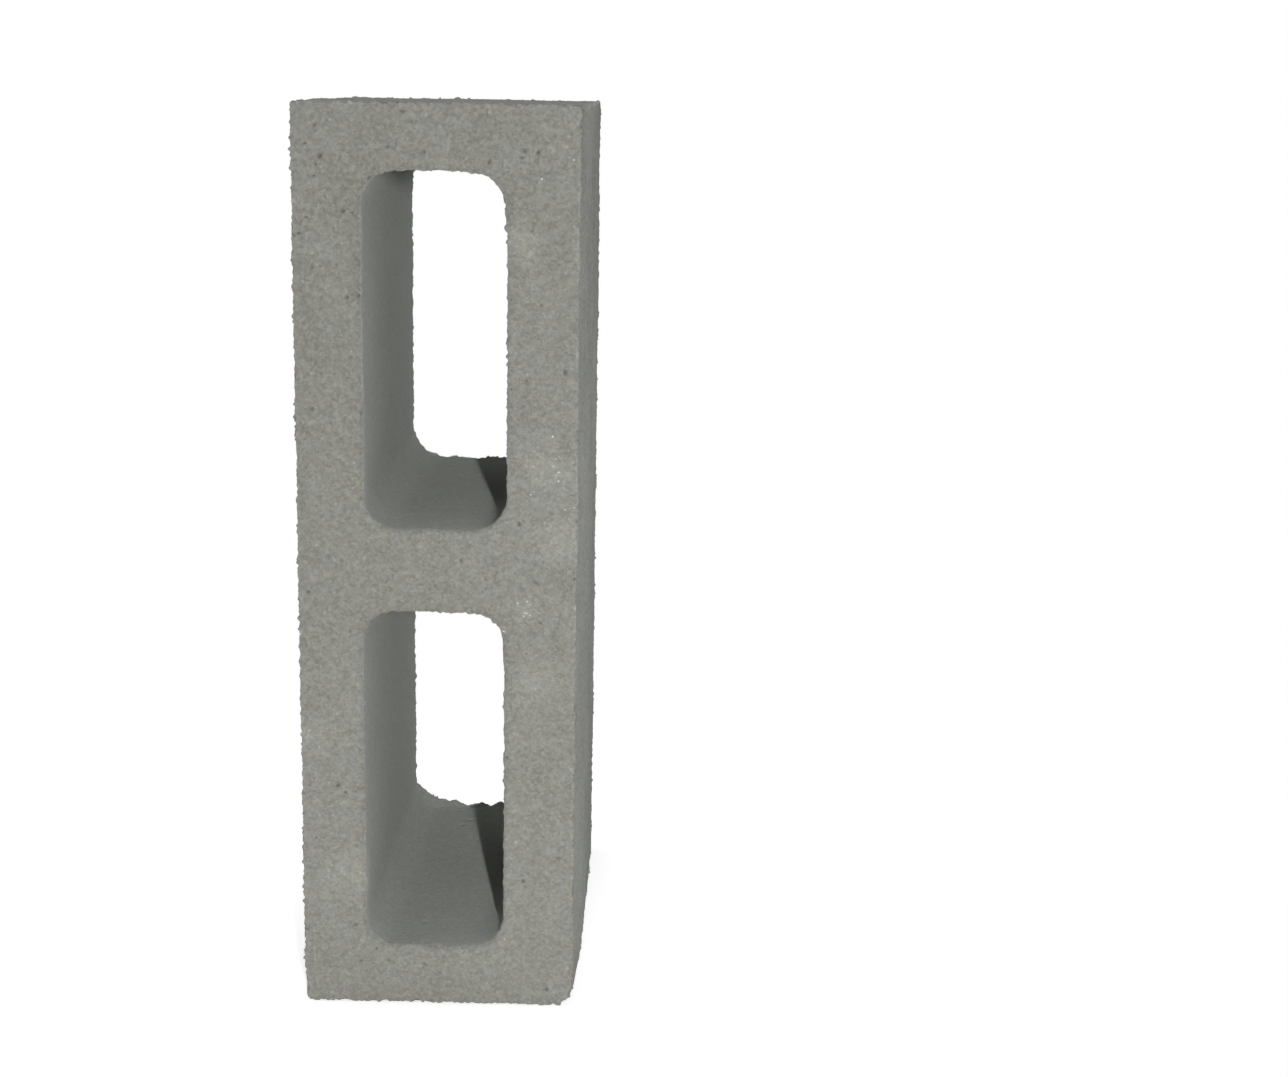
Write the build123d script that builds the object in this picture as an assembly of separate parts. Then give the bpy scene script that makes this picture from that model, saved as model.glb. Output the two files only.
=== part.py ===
from build123d import *

import math
import os

# Hollow concrete block with two tapered cells, moulded in one piece and standing on its end.
# X runs through the wall that it builds, Y along the cells and Z along the block's length.
# The origin is the centre of the end face that the block stands on.

# Driving dimensions, in millimetres
thickness = 120.0  # X, across the two face shells
height = 190.0  # Y, between the two bed faces
length = 390.0  # Z, between the two end faces
cell_count = 2

# Walls round the cells, measured on the thick bed face, which lay on the pallet
face_shell = 30.0  # between a cell and the outside of the wall
end_web = 27.0  # between a cell and the end of the block
middle_web = 36.0  # between two cells
cell_corner_radius = 14.0
core_draft = 2.0  # how much thinner each of these walls is on the other, thin bed face

# Edges
mould_corner_radius = 2.0  # the four edges that lie along the cells
arris_radius = 1.0  # the outer rim of each bed face

cell_width = thickness - 2 * face_shell
cell_length = (length - 2 * end_web - (cell_count - 1) * middle_web) / cell_count
cell_pitch = cell_length + middle_web
draft_angle = math.degrees(math.atan2(core_draft, height))

# The thick bed face, centred on the block's length, looking along the cells to the thin one
thick_bed = Plane(origin=(0, -height / 2, length / 2), x_dir=(1, 0, 0), z_dir=(0, 1, 0))


def mould_body():
    """The block before its cells: a prism between the bed faces, with its edges eased."""
    outline = RectangleRounded(thickness, length, mould_corner_radius)
    prism = extrude(thick_bed * outline, amount=height)
    bed_faces = prism.faces().filter_by(Axis.Y)
    return fillet(bed_faces.edges(), arris_radius)


def cores():
    """The row of cores that leave the cells, each widening by the draft towards the thin bed face."""
    opening = RectangleRounded(cell_width, cell_length, cell_corner_radius)
    row = GridLocations(0, cell_pitch, 1, cell_count)
    return [extrude(thick_bed * place * opening, amount=height, taper=-draft_angle) for place in row]


concrete_block = mould_body() - cores()

os.makedirs("parts", exist_ok=True)
export_step(concrete_block, "parts/concrete_block.step")
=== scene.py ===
import itertools
import math

import bpy
import numpy as np
from mathutils import Matrix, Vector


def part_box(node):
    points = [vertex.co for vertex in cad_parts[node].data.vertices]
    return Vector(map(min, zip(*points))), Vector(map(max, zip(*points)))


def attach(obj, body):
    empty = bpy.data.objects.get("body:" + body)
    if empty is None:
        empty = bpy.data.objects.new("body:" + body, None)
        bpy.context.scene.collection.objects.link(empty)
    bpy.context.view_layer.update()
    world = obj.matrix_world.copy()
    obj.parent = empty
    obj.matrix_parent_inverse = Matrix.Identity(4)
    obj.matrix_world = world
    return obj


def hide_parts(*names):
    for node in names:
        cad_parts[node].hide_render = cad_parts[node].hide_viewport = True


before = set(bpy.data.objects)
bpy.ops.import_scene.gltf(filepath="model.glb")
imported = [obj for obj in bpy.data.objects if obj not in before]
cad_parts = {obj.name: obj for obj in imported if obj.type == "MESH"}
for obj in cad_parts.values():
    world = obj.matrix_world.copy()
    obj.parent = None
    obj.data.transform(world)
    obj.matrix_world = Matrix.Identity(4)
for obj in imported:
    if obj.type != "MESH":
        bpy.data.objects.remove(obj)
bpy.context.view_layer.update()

# The block's own sizes, in metres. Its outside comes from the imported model.
MM = 0.001
NODE = "concrete_block"
LOW, HIGH = (np.array(corner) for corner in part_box(NODE))
CENTRE = (LOW + HIGH) / 2
HALF = (HIGH - LOW) / 2
FACE_SHELL = 30 * MM
END_WEB = 27 * MM
MIDDLE_WEB = 36 * MM
CELL_CORNER = 14 * MM
DRAFT = 2 * MM
CELL_WIDTH = 2 * (HALF[0] - FACE_SHELL)
CELL_LENGTH = HALF[2] - END_WEB - MIDDLE_WEB / 2
CELL_HEIGHTS = [CENTRE[2] + side * (CELL_LENGTH + MIDDLE_WEB) / 2 for side in (-1, 1)]

# How far the cores had strayed in the mould: each cell's shift sideways on the near bed face, which looks at
# the camera, and on the far one, lower cell first, and how far the middle web stands above the block's middle
CORE_SHIFTS = [(-1.9 * MM, -0.9 * MM), (-0.9 * MM, -0.9 * MM)]
WEB_RISE = 1.2 * MM

# How far the edges are rounded off: the moulded corners, the rims of the bed faces and the cells' mouths
MOULD_EDGE = 2.4 * MM
RIM_EDGE = 1.5 * MM
MOUTH_EDGE = 0.9 * MM

# How far the left and right sides draw in at the near bed face, and over what share of the depth
DRAW_IN = (0.8 * MM, 1.4 * MM)
DRAW_DEPTH = 0.3

# Wear of the edges: how uneven it is, how large its lumps are, and how much more of it there is at a chip
WEAR_SPREAD = 0.5
WEAR_LUMP = 18 * MM
CHIP_WEAR = 2.0

# The foot of the right side: how many times more worn it is at the near bed face, over what share of the
# depth, up to what height, and from what share of half the width
FOOT_WEAR = 3
FOOT_DEPTH = 0.3
FOOT_HEIGHT = 10 * MM
FOOT_START = 0.9

# Over what shares of the depth the mouths of the cells stray at the near and at the far bed face, and how far
# below a cell's middle its sill starts, as a share of half the cell's length
NEAR_MOUTH_DEPTH = 0.06
FAR_MOUTH_DEPTH = 0.08
SILL_START = 0.85

# Layers of noise, each as its height and lump size in millimetres and its seed
FACE_LAYERS = [(0.25, 34, 1), (0.10, 11, 2)]
EDGE_LAYERS = [(0.25, 6, 4), (0.55, 2.8, 5), (0.75, 1.5, 6)]
NEAR_MOUTH_LAYERS = [(0.3, 9, 8), (0.4, 3, 11)]
FAR_MOUTH_LAYERS = [(0.35, 13, 9), (0.40, 4, 10)]
SILL_LAYERS = [(1.0, 6, 12), (1.0, 2.6, 13)]

# Other seeds: the wear of the edges, the ragged outlines of spots and the random places of marks
WEAR_SEED = 7
SPOT_SEED = 20
PLACES_SEED = 5

# Marks on the near bed face, as x, z and radius in millimetres: pinholes, crumbs that stick to it, chips out
# of its edges, pale bloom and groups of white specks. The far crumb is on the edge of the far bed face.
PINHOLES = [
    (-47, 368, 1.5), (-49, 365, 0.9), (-50, 360, 1.0), (-53, 373, 0.8), (-19.5, 372.5, 0.9),
    (-5, 370.5, 0.9), (-13.5, 386.5, 0.9), (-49, 380.5, 0.8), (-38, 346, 1.2), (-53, 343.5, 0.9),
    (-56.5, 337, 1.0), (36, 371.5, 0.9), (35, 369, 0.9), (58.5, 342.5, 1.1), (34.5, 217.5, 1.0),
    (20.5, 193, 1.0), (10, 201.5, 0.8), (58, 194, 1.0),
]
NEAR_CRUMBS = [
    (9, 390, 1.5), (-35, 390, 1.0), (27.5, 346, 1.5), (28.5, 340, 1.2), (29, 335, 1.0), (29.5, 284.5, 0.9),
    (-60, 32, 0.9),
]
FAR_CRUMBS = [(-10, 390, 1.5)]
CHIPS = [(28.5, 169.5, 3.0), (-60, 6, 4.0), (-42.5, 0, 1.4), (-10.5, 0, 1.6), (6, 0, 1.4)]
BLOOMS = [
    (52, 211, 14), (46, 240, 12), (37, 180, 7), (-54, 124, 10), (36, 334, 9), (44, 150, 12), (-38, 60, 14),
]
SALT = [
    (54.5, 245, 2.5), (48.5, 238.5, 3.0), (39, 230.5, 1.5), (56, 225.5, 1.8), (35.5, 183, 2.0),
    (38, 180, 3.0), (47.5, 178, 1.5), (27.5, 170.5, 3.0), (57.5, 358.5, 1.5), (37, 334, 2.0),
]

# Lumps, and breaks of negative height, round the mouths, as x, z, reach and height in millimetres
NEAR_LUMPS = [(26, 352, 16, 1.7), (28, 162, 11, 1.0)]
FAR_LUMPS = [
    (-16, 25, 12, 3.6), (-27, 29, 9, 3.4), (2, 25, 4, 1.2), (12, 25, 5, 3.0), (-8, 212, 24, -1.2),
    (-1, 212, 5, -1.2), (8, 212, 4, 0.6),
]

# Marks at random places: how many pits each bed, side, end and flat cell wall has, how many grains lie along
# the outer edges, and the range of their radii in millimetres
PIT_COUNTS = {"beds": 70, "sides": 60, "ends": 25, "cells": 6}
PIT_RADII = (0.5, 1.2)
EDGE_GRAINS = 300
GRAIN_RADII = (0.7, 1.3)

# How deep pits and chips are and how high crumbs and grains stand, the power that shapes a pit's walls, and
# how many radii a crumb's foot reaches
PIT_DEPTH = 0.9 * MM
PIT_POWER = 0.7
CHIP_DEPTH = 0.8 * MM
CRUMB_HEIGHT = 1.2 * MM
CRUMB_FOOT = 1.3
GRAIN_HEIGHT = 0.8 * MM

# How far from an edge its crumbly surface reaches, and how weak it is where it is left out
EDGE_REACH = 1.8 * MM
FAINT_EDGE = 0.02

# A spot's ragged outline: how ragged it is, how large its lumps are and how far out it is worked out, the
# last two as shares of the spot's reach
SPOT_RAGGEDNESS = 0.4
SPOT_LUMP = 1.3
SPOT_MARGIN = 1.5

# How many slopes a noise picks from, a power of two, and the gain that brings it to about -1 to 1
NOISE_SLOPES = 256
NOISE_GAIN = 1.6

# How finely the block is meshed before its flat stretches are thinned out again
VOXEL = 0.6 * MM
TRIANGLES = 190_000

# The kinds of face, in the order of the columns that walls gives
SIDES, BEDS, ENDS, CELLS = range(4)


def gradient_noise(points, size, seed):
    """Smooth noise, about -1 to 1, whose lumps are as large as size."""
    rng = np.random.default_rng(seed)
    slopes = rng.normal(size=(NOISE_SLOPES, 3))
    slopes /= np.linalg.norm(slopes, axis=1, keepdims=True)
    order = rng.permutation(NOISE_SLOPES)
    wrap = NOISE_SLOPES - 1
    scaled = points / size
    cell = np.floor(scaled).astype(int)
    inside = scaled - cell
    fade = inside**3 * (inside * (inside * 6 - 15) + 10)
    total = np.zeros(len(points))
    for corner in itertools.product((0, 1), repeat=3):
        at = (cell + corner) & wrap
        pick = order[(order[(order[at[:, 0]] + at[:, 1]) & wrap] + at[:, 2]) & wrap]
        weight = np.where(corner, fade, 1 - fade).prod(axis=1)
        total += weight * ((inside - corner) * slopes[pick]).sum(axis=1)
    return NOISE_GAIN * total


def layered_noise(points, layers):
    """Sum of noises, each given as its height and lump size in millimetres and its seed."""
    total = np.zeros(len(points))
    for height, size, seed in layers:
        total += height * MM * gradient_noise(points, size * MM, seed)
    return total


def spots(points, places, reaches):
    """Height of round spots at each point: 1 in the middle of a spot, falling to 0 at its ragged reach."""
    order = np.argsort(points[:, 2], kind="stable")
    heights = points[order, 2]
    total = np.zeros(len(points))
    for place, reach in zip(places, reaches):
        margin = SPOT_MARGIN * reach
        first, last = np.searchsorted(heights, (place[2] - margin, place[2] + margin))
        near = order[first:last]
        away = np.linalg.norm(points[near] - place, axis=1) / reach
        close = away < SPOT_MARGIN
        near = near[close]
        away = away[close]
        away *= 1 + SPOT_RAGGEDNESS * gradient_noise(points[near], SPOT_LUMP * reach, SPOT_SEED)
        total[near] = np.maximum(total[near], np.maximum(1 - away**2, 0))
    return total


def on_bed(marks, depth=LOW[1]):
    """Places and radii, in metres, of marks on the near bed face, or at another depth."""
    x, z, radius = np.array(marks).T * MM
    return np.column_stack([x, np.full(len(marks), depth), z]), radius


def depth_share(points):
    """0 on the near bed face, 1 on the far one."""
    return (points[:, 1] - LOW[1]) / (2 * HALF[1])


def cell_height(points):
    """How far points lie above the middle of the nearest cell."""
    lower, upper = CELL_HEIGHTS
    return np.where(points[:, 2] < CENTRE[2], points[:, 2] - lower, points[:, 2] - upper)


def cell_distance(points, number):
    """Distance from the wall of the lower cell, number 0, or the upper one, 1, negative in the hole."""
    depth = depth_share(points)
    shift = np.interp(depth, (0, 1), CORE_SHIFTS[number])
    height = CELL_HEIGHTS[number] + WEB_RISE / 2
    length = CELL_LENGTH + WEB_RISE * (1 - 2 * number)
    across = np.abs(points[:, 0] - shift) - (CELL_WIDTH / 2 - CELL_CORNER)
    along = np.abs(points[:, 2] - height) - (length / 2 - CELL_CORNER)
    outside = np.hypot(np.maximum(across, 0), np.maximum(along, 0))
    return outside + np.minimum(np.maximum(across, along), 0) - (CELL_CORNER + DRAFT * depth)


def walls(points):
    """Distances to the nearest side, bed face, end and cell wall, negative inside the concrete."""
    outer = np.abs(points - CENTRE) - HALF
    draw_in = np.where(points[:, 0] < CENTRE[0], *DRAW_IN)
    outer[:, 0] += draw_in * np.maximum(1 - depth_share(points) / DRAW_DEPTH, 0)
    cells = [-cell_distance(points, number) for number in (0, 1)]
    return np.column_stack([outer, np.maximum(*cells)])


def smooth_max(a, b, rounding):
    """The larger of two distances, with the edge between them rounded off."""
    blend = np.maximum(rounding - np.abs(a - b), 0) / rounding
    return np.maximum(a, b) + blend**2 * rounding / 4


def block_distance(points, wear, stray):
    """Distance from the block's surface, its edges rounded by their wear and its cells widened by stray."""
    sides, beds, ends, cells = walls(points).T
    outside = smooth_max(smooth_max(sides, ends, MOULD_EDGE * wear), beds, RIM_EDGE * wear)
    return smooth_max(outside, cells + stray, MOUTH_EDGE * wear)


def outward(points, wear, stray):
    """The direction out of the block at points near its surface."""
    step = 0.2 * MM
    slope = np.empty_like(points)
    for axis in range(3):
        shift = np.zeros(3)
        shift[axis] = step
        ahead = block_distance(points + shift, wear, stray)
        slope[:, axis] = ahead - block_distance(points - shift, wear, stray)
    return slope / np.linalg.norm(slope, axis=1, keepdims=True)


def mouth_stray(points):
    """How far the cells' mouths stray outwards from their moulded outline, most of all at the far sills."""
    depth = depth_share(points)
    near = np.maximum(1 - depth / NEAR_MOUTH_DEPTH, 0)
    far = np.maximum(1 - (1 - depth) / FAR_MOUTH_DEPTH, 0)
    sill = far * (cell_height(points) < -SILL_START * CELL_LENGTH / 2)
    stray = np.zeros(len(points))
    for weight, layers in ((near, NEAR_MOUTH_LAYERS), (far, FAR_MOUTH_LAYERS), (sill, SILL_LAYERS)):
        there = weight > 0
        stray[there] += weight[there] * layered_noise(points[there], layers)
    for weight, bed, lumps in ((near, LOW[1], NEAR_LUMPS), (far, HIGH[1], FAR_LUMPS)):
        for x, z, reach, height in np.array(lumps) * MM:
            stray -= weight * height * spots(points, [(x, bed, z)], [reach])
    return stray


def edge_wear(points):
    """How much rounder than plain the edges are: uneven all round, most at chips and the near right foot."""
    chip_places, chip_radii = on_bed(CHIPS)
    uneven = WEAR_SPREAD * gradient_noise(points, WEAR_LUMP, WEAR_SEED)
    wear = 1 + uneven + CHIP_WEAR * spots(points, chip_places, 2 * chip_radii)
    foot = (points[:, 0] > FOOT_START * HIGH[0]) & (points[:, 2] < FOOT_HEIGHT)
    back = np.minimum(depth_share(points[foot]) / FOOT_DEPTH, 1)
    wear[foot] *= FOOT_WEAR - (FOOT_WEAR - 1) * back
    return wear


def settled(points):
    """Points moved on to the block's worn surface, with the wear and the stray there."""
    wear = edge_wear(points)
    stray = mouth_stray(points)
    for _ in range(2):
        points = points - outward(points, wear, stray) * block_distance(points, wear, stray)[:, None]
    return points, wear, stray


def scattered_places(rng, counts):
    """Seeded random places on the faces: beds, sides, ends and the flat walls of the cells."""
    patches = []
    for side in (-1, 1):
        for kind, axis in (("beds", 1), ("sides", 0), ("ends", 2)):
            places = rng.uniform(LOW, HIGH, (counts[kind], 3))
            places[:, axis] = CENTRE[axis] + side * HALF[axis]
            patches.append(places)
        for height in CELL_HEIGHTS:
            for axis, reach in ((0, CELL_WIDTH / 2), (2, CELL_LENGTH / 2)):
                middle = np.array([0, 0, height])
                room = np.array([CELL_WIDTH / 2, HALF[1], CELL_LENGTH / 2])
                places = rng.uniform(middle - room, middle + room, (counts["cells"], 3))
                places[:, axis] = middle[axis] + side * (reach + DRAFT * depth_share(places))
                patches.append(places)
    return np.concatenate(patches)


def edge_places(rng, count):
    """Seeded random places along the twelve outer edges."""
    runs = rng.choice(3, count, p=HALF / HALF.sum())
    corners = np.where(rng.random((count, 3)) < 0.5, LOW, HIGH)
    return np.where(np.arange(3) == runs[:, None], rng.uniform(LOW, HIGH, (count, 3)), corners)


def random_marks():
    """Places and radii of all the pits, and of the grains along the edges."""
    rng = np.random.default_rng(PLACES_SEED)
    pinholes, pinhole_radii = on_bed(PINHOLES)
    loose = scattered_places(rng, PIT_COUNTS)
    pit_places = np.concatenate([pinholes, loose])
    pit_radii = np.concatenate([pinhole_radii, MM * rng.uniform(*PIT_RADII, len(loose))])
    grain_places = settled(edge_places(rng, EDGE_GRAINS))[0]
    grain_radii = MM * rng.uniform(*GRAIN_RADII, EDGE_GRAINS)
    return (pit_places, pit_radii), (grain_places, grain_radii)


def relief(points, edge, pits, grains):
    """How far the surface stands out at points: uneven faces, crumbly edges and single marks."""
    height = layered_noise(points, FACE_LAYERS)
    rough = edge > FAINT_EDGE
    height[rough] += edge[rough] * layered_noise(points[rough], EDGE_LAYERS)
    height -= PIT_DEPTH * pits**PIT_POWER
    for places, radii in (on_bed(NEAR_CRUMBS), on_bed(FAR_CRUMBS, HIGH[1])):
        height += CRUMB_HEIGHT * spots(points, places, CRUMB_FOOT * radii)
    height += GRAIN_HEIGHT * spots(points, *grains)
    height -= CHIP_DEPTH * spots(points, *on_bed(CHIPS))
    return height


def object_from(name, mesh):
    """A new object in the scene with that mesh."""
    piece = bpy.data.objects.new(name, mesh)
    bpy.context.scene.collection.objects.link(piece)
    return piece


def modified(mesh, kind, **settings):
    """A copy of a mesh with one modifier applied."""
    holder = object_from("holder", mesh)
    modifier = holder.modifiers.new("modifier", kind)
    for name, value in settings.items():
        setattr(modifier, name, value)
    evaluated = holder.evaluated_get(bpy.context.evaluated_depsgraph_get())
    result = bpy.data.meshes.new_from_object(evaluated)
    bpy.data.objects.remove(holder)
    return result


def places_of(mesh):
    """The places of a mesh's vertices, one row each."""
    places = np.empty(len(mesh.vertices) * 3)
    mesh.vertices.foreach_get("co", places)
    return places.reshape(-1, 3)


def along_cell(points, height):
    """How far round the outline of the cell at that height points lie, from the foot of its right wall."""
    half_width = CELL_WIDTH / 2 - CELL_CORNER
    half_length = CELL_LENGTH / 2 - CELL_CORNER
    across = points[:, 0]
    up = points[:, 2] - height
    inner_across = np.clip(across, -half_width, half_width)
    inner_up = np.clip(up, -half_length, half_length)
    turn = np.arctan2(up - inner_up, across - inner_across) % (2 * math.pi)
    slack = 1e-6
    quarter = np.floor(turn / (math.pi / 2) + slack).astype(int) % 4
    straights = [
        half_length + inner_up,
        2 * half_length + half_width - inner_across,
        3 * half_length + 2 * half_width - inner_up,
        4 * half_length + 3 * half_width + inner_across,
    ]
    return np.choose(quarter, straights) + CELL_CORNER * turn


def add_bake_map(mesh):
    """Lays the faces out flat at one scale: sides and beds in a row, each cell unrolled beside an end."""
    faces = len(mesh.polygons)
    corners = np.empty(len(mesh.loops), int)
    mesh.loops.foreach_get("vertex_index", corners)
    sizes = np.empty(faces, int)
    mesh.polygons.foreach_get("loop_total", sizes)
    middles = np.empty(faces * 3)
    mesh.polygons.foreach_get("center", middles)
    middles = middles.reshape(-1, 3)
    kind = np.repeat(walls(middles).argmax(axis=1), sizes)
    middles = np.repeat(middles, sizes, axis=0)
    beyond = middles > CENTRE
    points = places_of(mesh)[corners]

    width, depth, length = 2 * HALF
    round_cell = 4 * (CELL_WIDTH / 2 + CELL_LENGTH / 2 - 2 * CELL_CORNER) + 2 * math.pi * CELL_CORNER
    gap = 6 * MM
    flat = np.empty((len(points), 2))
    for far in (0, 1):
        row = length + 2 * gap + far * (depth + gap)
        for number, axes, turned, corner in (
            (SIDES, (1, 2), not far, (gap + far * (depth + gap), gap)),
            (BEDS, (0, 2), far, (gap + 2 * (depth + gap) + far * (width + gap), gap)),
            (ENDS, (0, 1), not far, (2 * gap + round_cell, row)),
        ):
            chosen = (kind == number) & (beyond[:, number] == far)
            spread = (points[chosen] - CENTRE)[:, axes]
            if turned:
                spread[:, 0] *= -1
            flat[chosen] = spread + HALF[list(axes)] + corner
        chosen = (kind == CELLS) & (beyond[:, 2] == far)
        along = along_cell(points[chosen], CELL_HEIGHTS[far])
        middle_along = along_cell(middles[chosen], CELL_HEIGHTS[far])
        along += round_cell * np.round((middle_along - along) / round_cell)
        flat[chosen] = np.column_stack([along, points[chosen, 1] - LOW[1]]) + (gap, row)
    flat /= length + 2 * depth + 4 * gap
    mesh.uv_layers.new(name="OFBake").data.foreach_set("uv", flat.ravel().astype(np.float32))


def block_mesh():
    """The block's surface with its relief, fine at the edges and marks and coarser on the flats."""
    mesh = modified(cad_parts[NODE].data.copy(), "REMESH", mode="VOXEL", voxel_size=VOXEL)
    pits, grains = random_marks()
    points, wear, stray = settled(places_of(mesh))
    distances = walls(points)
    second = np.sort(distances, axis=1)[:, -2]
    edge = np.exp(-((second / EDGE_REACH) ** 2))
    kind = distances.argmax(axis=1)
    pitted = spots(points, *pits)
    height = relief(points, edge, pitted, grains)
    points += outward(points, wear, stray) * height[:, None]
    points[:, 2] = np.maximum(points[:, 2], LOW[2])
    mesh.vertices.foreach_set("co", points.ravel())
    marks = {
        # Painted shade: the edges round the cells' mouths, which the material darkens
        "painted_mouth_shade": edge * (distances[:, CELLS] >= second),
        # Painted shade: 1 in the middle of a pit, which the material darkens
        "painted_pit_shade": pitted,
        "shell": (kind == SIDES) | (kind == ENDS),
        "cell": kind == CELLS,
        "bloom": spots(points, *on_bed(BLOOMS)),
        "salt": spots(points, *on_bed(SALT)),
    }
    for name, values in marks.items():
        mesh.attributes.new(name, "FLOAT", "POINT").data.foreach_set("value", values.astype(np.float32))
    mesh.update()
    share = TRIANGLES / (2 * len(mesh.polygons))
    if share < 1:
        mesh = modified(mesh, "DECIMATE", ratio=share)
    mesh.polygons.foreach_set("use_smooth", np.ones(len(mesh.polygons), bool))
    add_bake_map(mesh)
    return mesh


class Graph:
    """A material's nodes, with short ways to add and join them."""

    def __init__(self, tree):
        self.nodes = tree.nodes
        self.links = tree.links

    def node(self, kind, inputs=None, **settings):
        """A new node with its settings, and its inputs put in or joined."""
        node = self.nodes.new("ShaderNode" + kind)
        for name, value in settings.items():
            setattr(node, name, value)
        for name, value in (inputs or {}).items():
            self.put(node.inputs[name], value)
        return node

    def put(self, socket, value):
        """Joins another node's socket to this one, or sets it to a constant."""
        if isinstance(value, bpy.types.NodeSocket):
            self.links.new(value, socket)
        else:
            socket.default_value = value

    def math(self, operation, *values):
        node = self.node("Math", dict(enumerate(values)), operation=operation)
        return node.outputs[0]

    def add(self, total, value, weight):
        return self.math("MULTIPLY_ADD", value, weight, total)

    def mark(self, name):
        return self.node("Attribute", attribute_name=name).outputs["Fac"]

    def noise(self, place, size, detail=2.0):
        """Noise about zero with lumps of that size."""
        inputs = {"Vector": place, "Scale": 1 / size, "Detail": detail, "Roughness": 0.6}
        return self.math("SUBTRACT", self.node("TexNoise", inputs).outputs["Fac"], 0.5)

    def range(self, value, low, high):
        """0 where the value is at low, 1 where it is at high, and smooth between."""
        inputs = {"Value": value, "From Min": low, "From Max": high}
        return self.node("MapRange", inputs, interpolation_type="SMOOTHSTEP").outputs["Result"]

    def grid(self, place, spacing):
        """Distances from the middles of the cells of a random grid, and each cell's random values."""
        grid = self.node("TexVoronoi", {"Vector": place, "Scale": 1 / spacing}).outputs
        return grid["Distance"], self.node("SeparateColor", {"Color": grid["Color"]}).outputs

    def grains(self, place, spacing):
        """A random value about zero for each grain of about that size."""
        random = self.grid(place, spacing)[1]
        return self.math("SUBTRACT", random["Red"], 0.5)

    def spots(self, place, spacing, share, radius):
        """Spots of about that radius in a share of the cells of a random grid: 1 inside them, 0 outside."""
        distance, random = self.grid(place, spacing)
        least = 0.6 * radius / spacing
        spread = 0.8 * radius / spacing
        reach = self.math("MULTIPLY_ADD", random["Green"], spread, least)
        inside = self.range(distance, reach, self.math("MULTIPLY", reach, 0.4))
        return self.math("MULTIPLY", inside, self.math("LESS_THAN", random["Red"], share))


# The concrete's two colours, the painted light that makes it paler at its foot and the painted shade that
# makes it darker at its top, and how much weaker its texture is on the walls of the cells
WARM = (0.295, 0.287, 0.246, 1)
COOL = (0.260, 0.271, 0.256, 1)
FOOT_PAINTED_LIGHT = 1.06
TOP_PAINTED_SHADE = 0.14
CELL_SMOOTHNESS = 0.45


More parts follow.
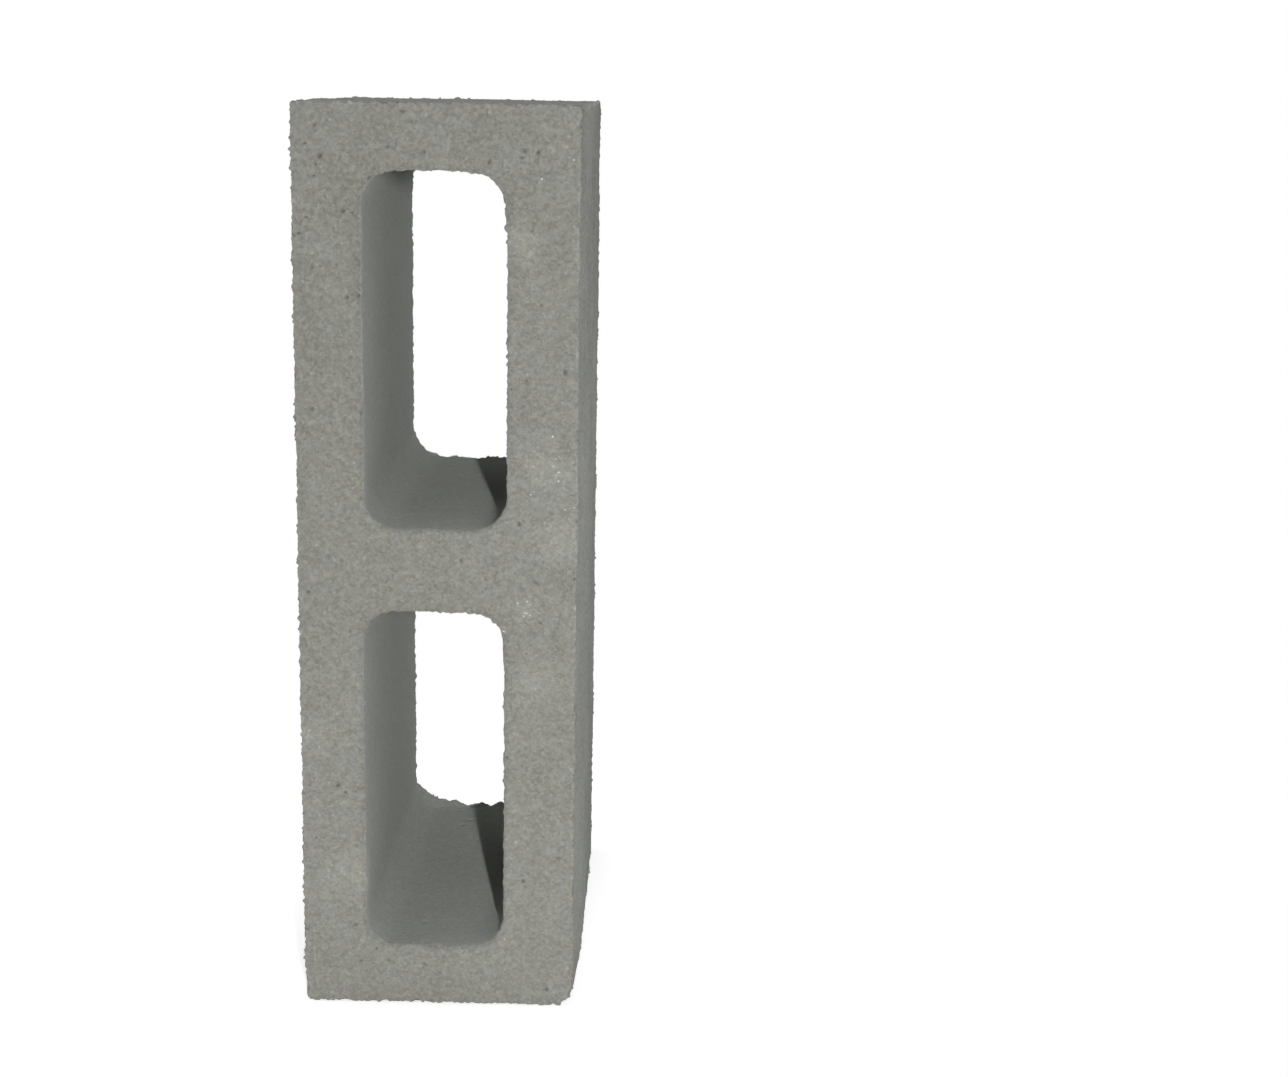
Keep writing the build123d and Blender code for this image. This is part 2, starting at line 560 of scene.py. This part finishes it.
def concrete_material():
    """Grey concrete: mottled sand and cement, pale and dark grains, pinholes, bloom, painted shade in its
    pits, holes, pores and mouths and towards its top, and painted light in its cells and at its foot.
    """
    material = bpy.data.materials.new("concrete")
    material.use_nodes = True
    graph = Graph(material.node_tree)
    shader = graph.nodes["Principled BSDF"]
    place = graph.node("TexCoord").outputs["Object"]
    painted_mouth_shade, painted_pit_shade, shell, cell = (graph.mark(name) for name in ("painted_mouth_shade", "painted_pit_shade", "shell", "cell"))
    bloom, salt = (graph.mark(name) for name in ("bloom", "salt"))
    cloud = graph.noise(place, 70 * MM)
    mottle = graph.noise(place, 11 * MM, 3)
    sand = graph.noise(place, 2.6 * MM)
    coarse = graph.grains(place, 1.7 * MM)
    fine = graph.grains(place, 1.0 * MM)
    pale = graph.spots(place, 4.0 * MM, 0.45, 1.0 * MM)
    stones = graph.spots(place, 9.0 * MM, 0.5, 2.4 * MM)
    dark = graph.spots(place, 3.4 * MM, 0.12, 0.6 * MM)
    # Tiny pinholes: sunk by the bump, and darkened with painted shade
    holes_and_shade = graph.spots(place, 9 * MM, 0.25, 0.7 * MM)
    grit = graph.add(graph.noise(place, 1.6 * MM, 1), graph.noise(place, 38 * MM), 0.4)
    # Open pores of the sides and ends: sunk by the bump, and darkened with painted shade
    pores_and_shade = graph.math("MULTIPLY", graph.range(grit, 0.0, -0.14), shell)
    speck_share = graph.math("MULTIPLY_ADD", salt, 1.2, 0.001)
    specks = graph.spots(place, 1.3 * MM, speck_share, 0.36 * MM)

    hue = 0.42
    for value, weight in (
        (mottle, 0.9), (sand, 1.6), (cloud, 0.4), (shell, 0.35), (cell, 0.45), (specks, 0.6),
    ):
        hue = graph.add(hue, value, weight)
    tint = graph.node("Mix", data_type="RGBA", clamp_factor=True)
    graph.put(tint.inputs[0], hue)
    graph.put(tint.inputs[6], WARM)
    graph.put(tint.inputs[7], COOL)

    texture = graph.math("MULTIPLY_ADD", cell, -CELL_SMOOTHNESS, 1.0)
    # Painted light and shade: paler towards the foot, darker towards the top
    up = graph.node("SeparateXYZ", {0: place}).outputs["Z"]
    level = graph.math("MULTIPLY_ADD", up, -TOP_PAINTED_SHADE / (2 * HALF[2]), FOOT_PAINTED_LIGHT)
    for value, weight in (
        (cloud, 0.20), (mottle, 0.20), (sand, 0.14), (coarse, 0.18), (fine, 0.26), (pale, 0.26),
        (stones, 0.09), (dark, -0.24), (holes_and_shade, -0.25),
    ):
        level = graph.add(level, graph.math("MULTIPLY", value, texture), weight)
    # Painted light: the cell mark makes the walls of the cells paler than the outside
    for value, weight in (
        (painted_pit_shade, -0.40), (bloom, 0.16), (painted_mouth_shade, -0.10), (cell, 0.15), (pores_and_shade, -0.27), (specks, 1.5),
    ):
        level = graph.add(level, value, weight)
    colour = graph.node("VectorMath", {0: tint.outputs[2], "Scale": level}, operation="SCALE")
    graph.put(shader.inputs["Base Color"], colour.outputs[0])

    height = 0.5
    for value, weight in (
        (mottle, 0.5), (sand, 1.0), (coarse, 0.35), (fine, 0.2), (pale, 0.25), (dark, -0.3), (holes_and_shade, -1.2),
        (pores_and_shade, -1.0),
    ):
        height = graph.add(height, value, weight)
    bump = graph.node("Bump", {"Height": height, "Strength": 0.7, "Distance": 0.35 * MM})
    graph.put(shader.inputs["Normal"], bump.outputs[0])
    graph.put(shader.inputs["Roughness"], graph.add(0.93, sand, 0.2))
    graph.put(shader.inputs["Diffuse Roughness"], graph.math("MULTIPLY_ADD", shell, -0.5, 0.5))
    graph.put(shader.inputs["Specular IOR Level"], 0.05)
    return material


def seen_directly(graph):
    """1 for a ray from the camera, or one that a mirror or glass sends on, 0 for light on other surfaces."""
    path = graph.node("LightPath").outputs
    either = graph.math("MAXIMUM", path["Is Camera Ray"], path["Is Glossy Ray"])
    return graph.math("MAXIMUM", either, path["Is Transmission Ray"])


# The floor's width, its grey and its glow under the block, and from and to what distance it fades to white
FLOOR_SIZE = 20
FLOOR_GREY = 0.65
FLOOR_GLOW = 0.6
FADE_START = 0.1
FADE_END = 0.42


def make_floor():
    """A pale floor that keeps the block's shadow and fades to white away from it."""
    bpy.ops.mesh.primitive_plane_add(size=FLOOR_SIZE)
    floor = bpy.context.object
    floor.name = "floor"
    material = bpy.data.materials.new("floor")
    material.use_nodes = True
    graph = Graph(material.node_tree)
    graph.nodes.clear()
    seen = seen_directly(graph)
    position = graph.node("NewGeometry").outputs["Position"]
    away = graph.node("VectorMath", {0: position}, operation="LENGTH").outputs["Value"]
    fade = graph.range(away, FADE_START, FADE_END)
    faded = graph.math("MULTIPLY", seen, fade)
    diffuse = graph.node("BsdfDiffuse", {"Color": graph.math("MULTIPLY_ADD", faded, -FLOOR_GREY, FLOOR_GREY)})
    glow = graph.math("MULTIPLY", seen, graph.math("MULTIPLY_ADD", fade, 1 - FLOOR_GLOW, FLOOR_GLOW))
    emission = graph.node("Emission", {"Strength": glow})
    both = graph.node("AddShader", {0: diffuse.outputs[0], 1: emission.outputs[0]})
    graph.node("OutputMaterial", {"Surface": both.outputs[0]})
    floor.data.materials.append(material)


# The even light from all round, and the lamps: name, place, target, width and height, and power in watts
AMBIENT = 0.21
LAMPS = [
    ("key", (0.219, -1.232, 0.45), (0.0, -0.095, 0.15), (0.02, 0.1), 10.0),
    ("left_fill", (-2.6, 0.0, 1.0), (0.0, 0.0, 0.2), (1.0, 1.6), 30.0),
    ("right_fill", (0.36, -0.085, 0.18), (0.06, 0.0, 0.18), (0.1, 0.8), 0.85),
    ("back_fill", (-1.8, 2.4, 0.07), (0.0, 0.0, 0.07), (0.8, 0.1), 50.0),
    ("top_fill", (0.0, 0.0, 2.2), (0.0, 0.05, 0.39), (0.18, 0.18), 13.0),
]


def make_world():
    """Even light from all round, seen as plain white."""
    world = bpy.data.worlds.new("studio")
    bpy.context.scene.world = world
    world.use_nodes = True
    graph = Graph(world.node_tree)
    strength = graph.math("MULTIPLY_ADD", seen_directly(graph), 1 - AMBIENT, AMBIENT)
    background = graph.nodes["Background"]
    graph.put(background.inputs["Color"], (1, 1, 1, 1))
    graph.put(background.inputs["Strength"], strength)


def area_light(name, place, target, size, power):
    """A rectangular lamp of that width and height, aimed at a point, with its height kept upright."""
    lamp = bpy.data.lights.new(name, "AREA")
    lamp.shape = "RECTANGLE"
    lamp.size, lamp.size_y = size
    lamp.energy = power
    holder = bpy.data.objects.new(name, lamp)
    holder.visible_camera = False
    bpy.context.scene.collection.objects.link(holder)
    back = np.array(place, float) - np.array(target, float)
    back /= np.linalg.norm(back)
    right = np.cross((0, 0, 1), back)
    right /= np.linalg.norm(right)
    up = np.cross(back, right)
    holder.matrix_world = Matrix.Translation(place) @ Matrix(np.column_stack([right, up, back])).to_4x4()


# The camera, fitted to the block's edges: its place in metres, its turns in degrees, and its lens and sensor
# in millimetres
CAMERA_PLACE = (0.0949, -0.9469, 0.3995)
CAMERA_YAW = -0.538
CAMERA_DOWN = 12.393
CAMERA_ROLL = 1.03
CAMERA_LENS = 58.0
CAMERA_SENSOR = 36.0


def make_camera():
    """The scene's camera, turned sideways, then down, then rolled about its own axis."""
    yaw, down, roll = (math.radians(angle) for angle in (CAMERA_YAW, CAMERA_DOWN, CAMERA_ROLL))
    forward = np.array([math.sin(yaw) * math.cos(down), math.cos(yaw) * math.cos(down), -math.sin(down)])
    level = np.array([math.cos(yaw), -math.sin(yaw), 0])
    upright = np.cross(level, forward)
    right = math.cos(roll) * level + math.sin(roll) * upright
    up = math.cos(roll) * upright - math.sin(roll) * level
    camera = bpy.data.cameras.new("camera")
    camera.lens = CAMERA_LENS
    camera.sensor_width = CAMERA_SENSOR
    holder = bpy.data.objects.new("camera", camera)
    bpy.context.scene.collection.objects.link(holder)
    turn = Matrix(np.column_stack([right, up, -forward])).to_4x4()
    holder.matrix_world = Matrix.Translation(CAMERA_PLACE) @ turn
    bpy.context.scene.camera = holder


block = object_from("concrete_block_visual", block_mesh())
block.data.materials.clear()
block.data.materials.append(concrete_material())
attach(block, "root")
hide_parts(NODE)

make_floor()
make_world()
make_camera()
for lamp_values in LAMPS:
    area_light(*lamp_values)
bpy.context.scene.view_settings.view_transform = "Standard"
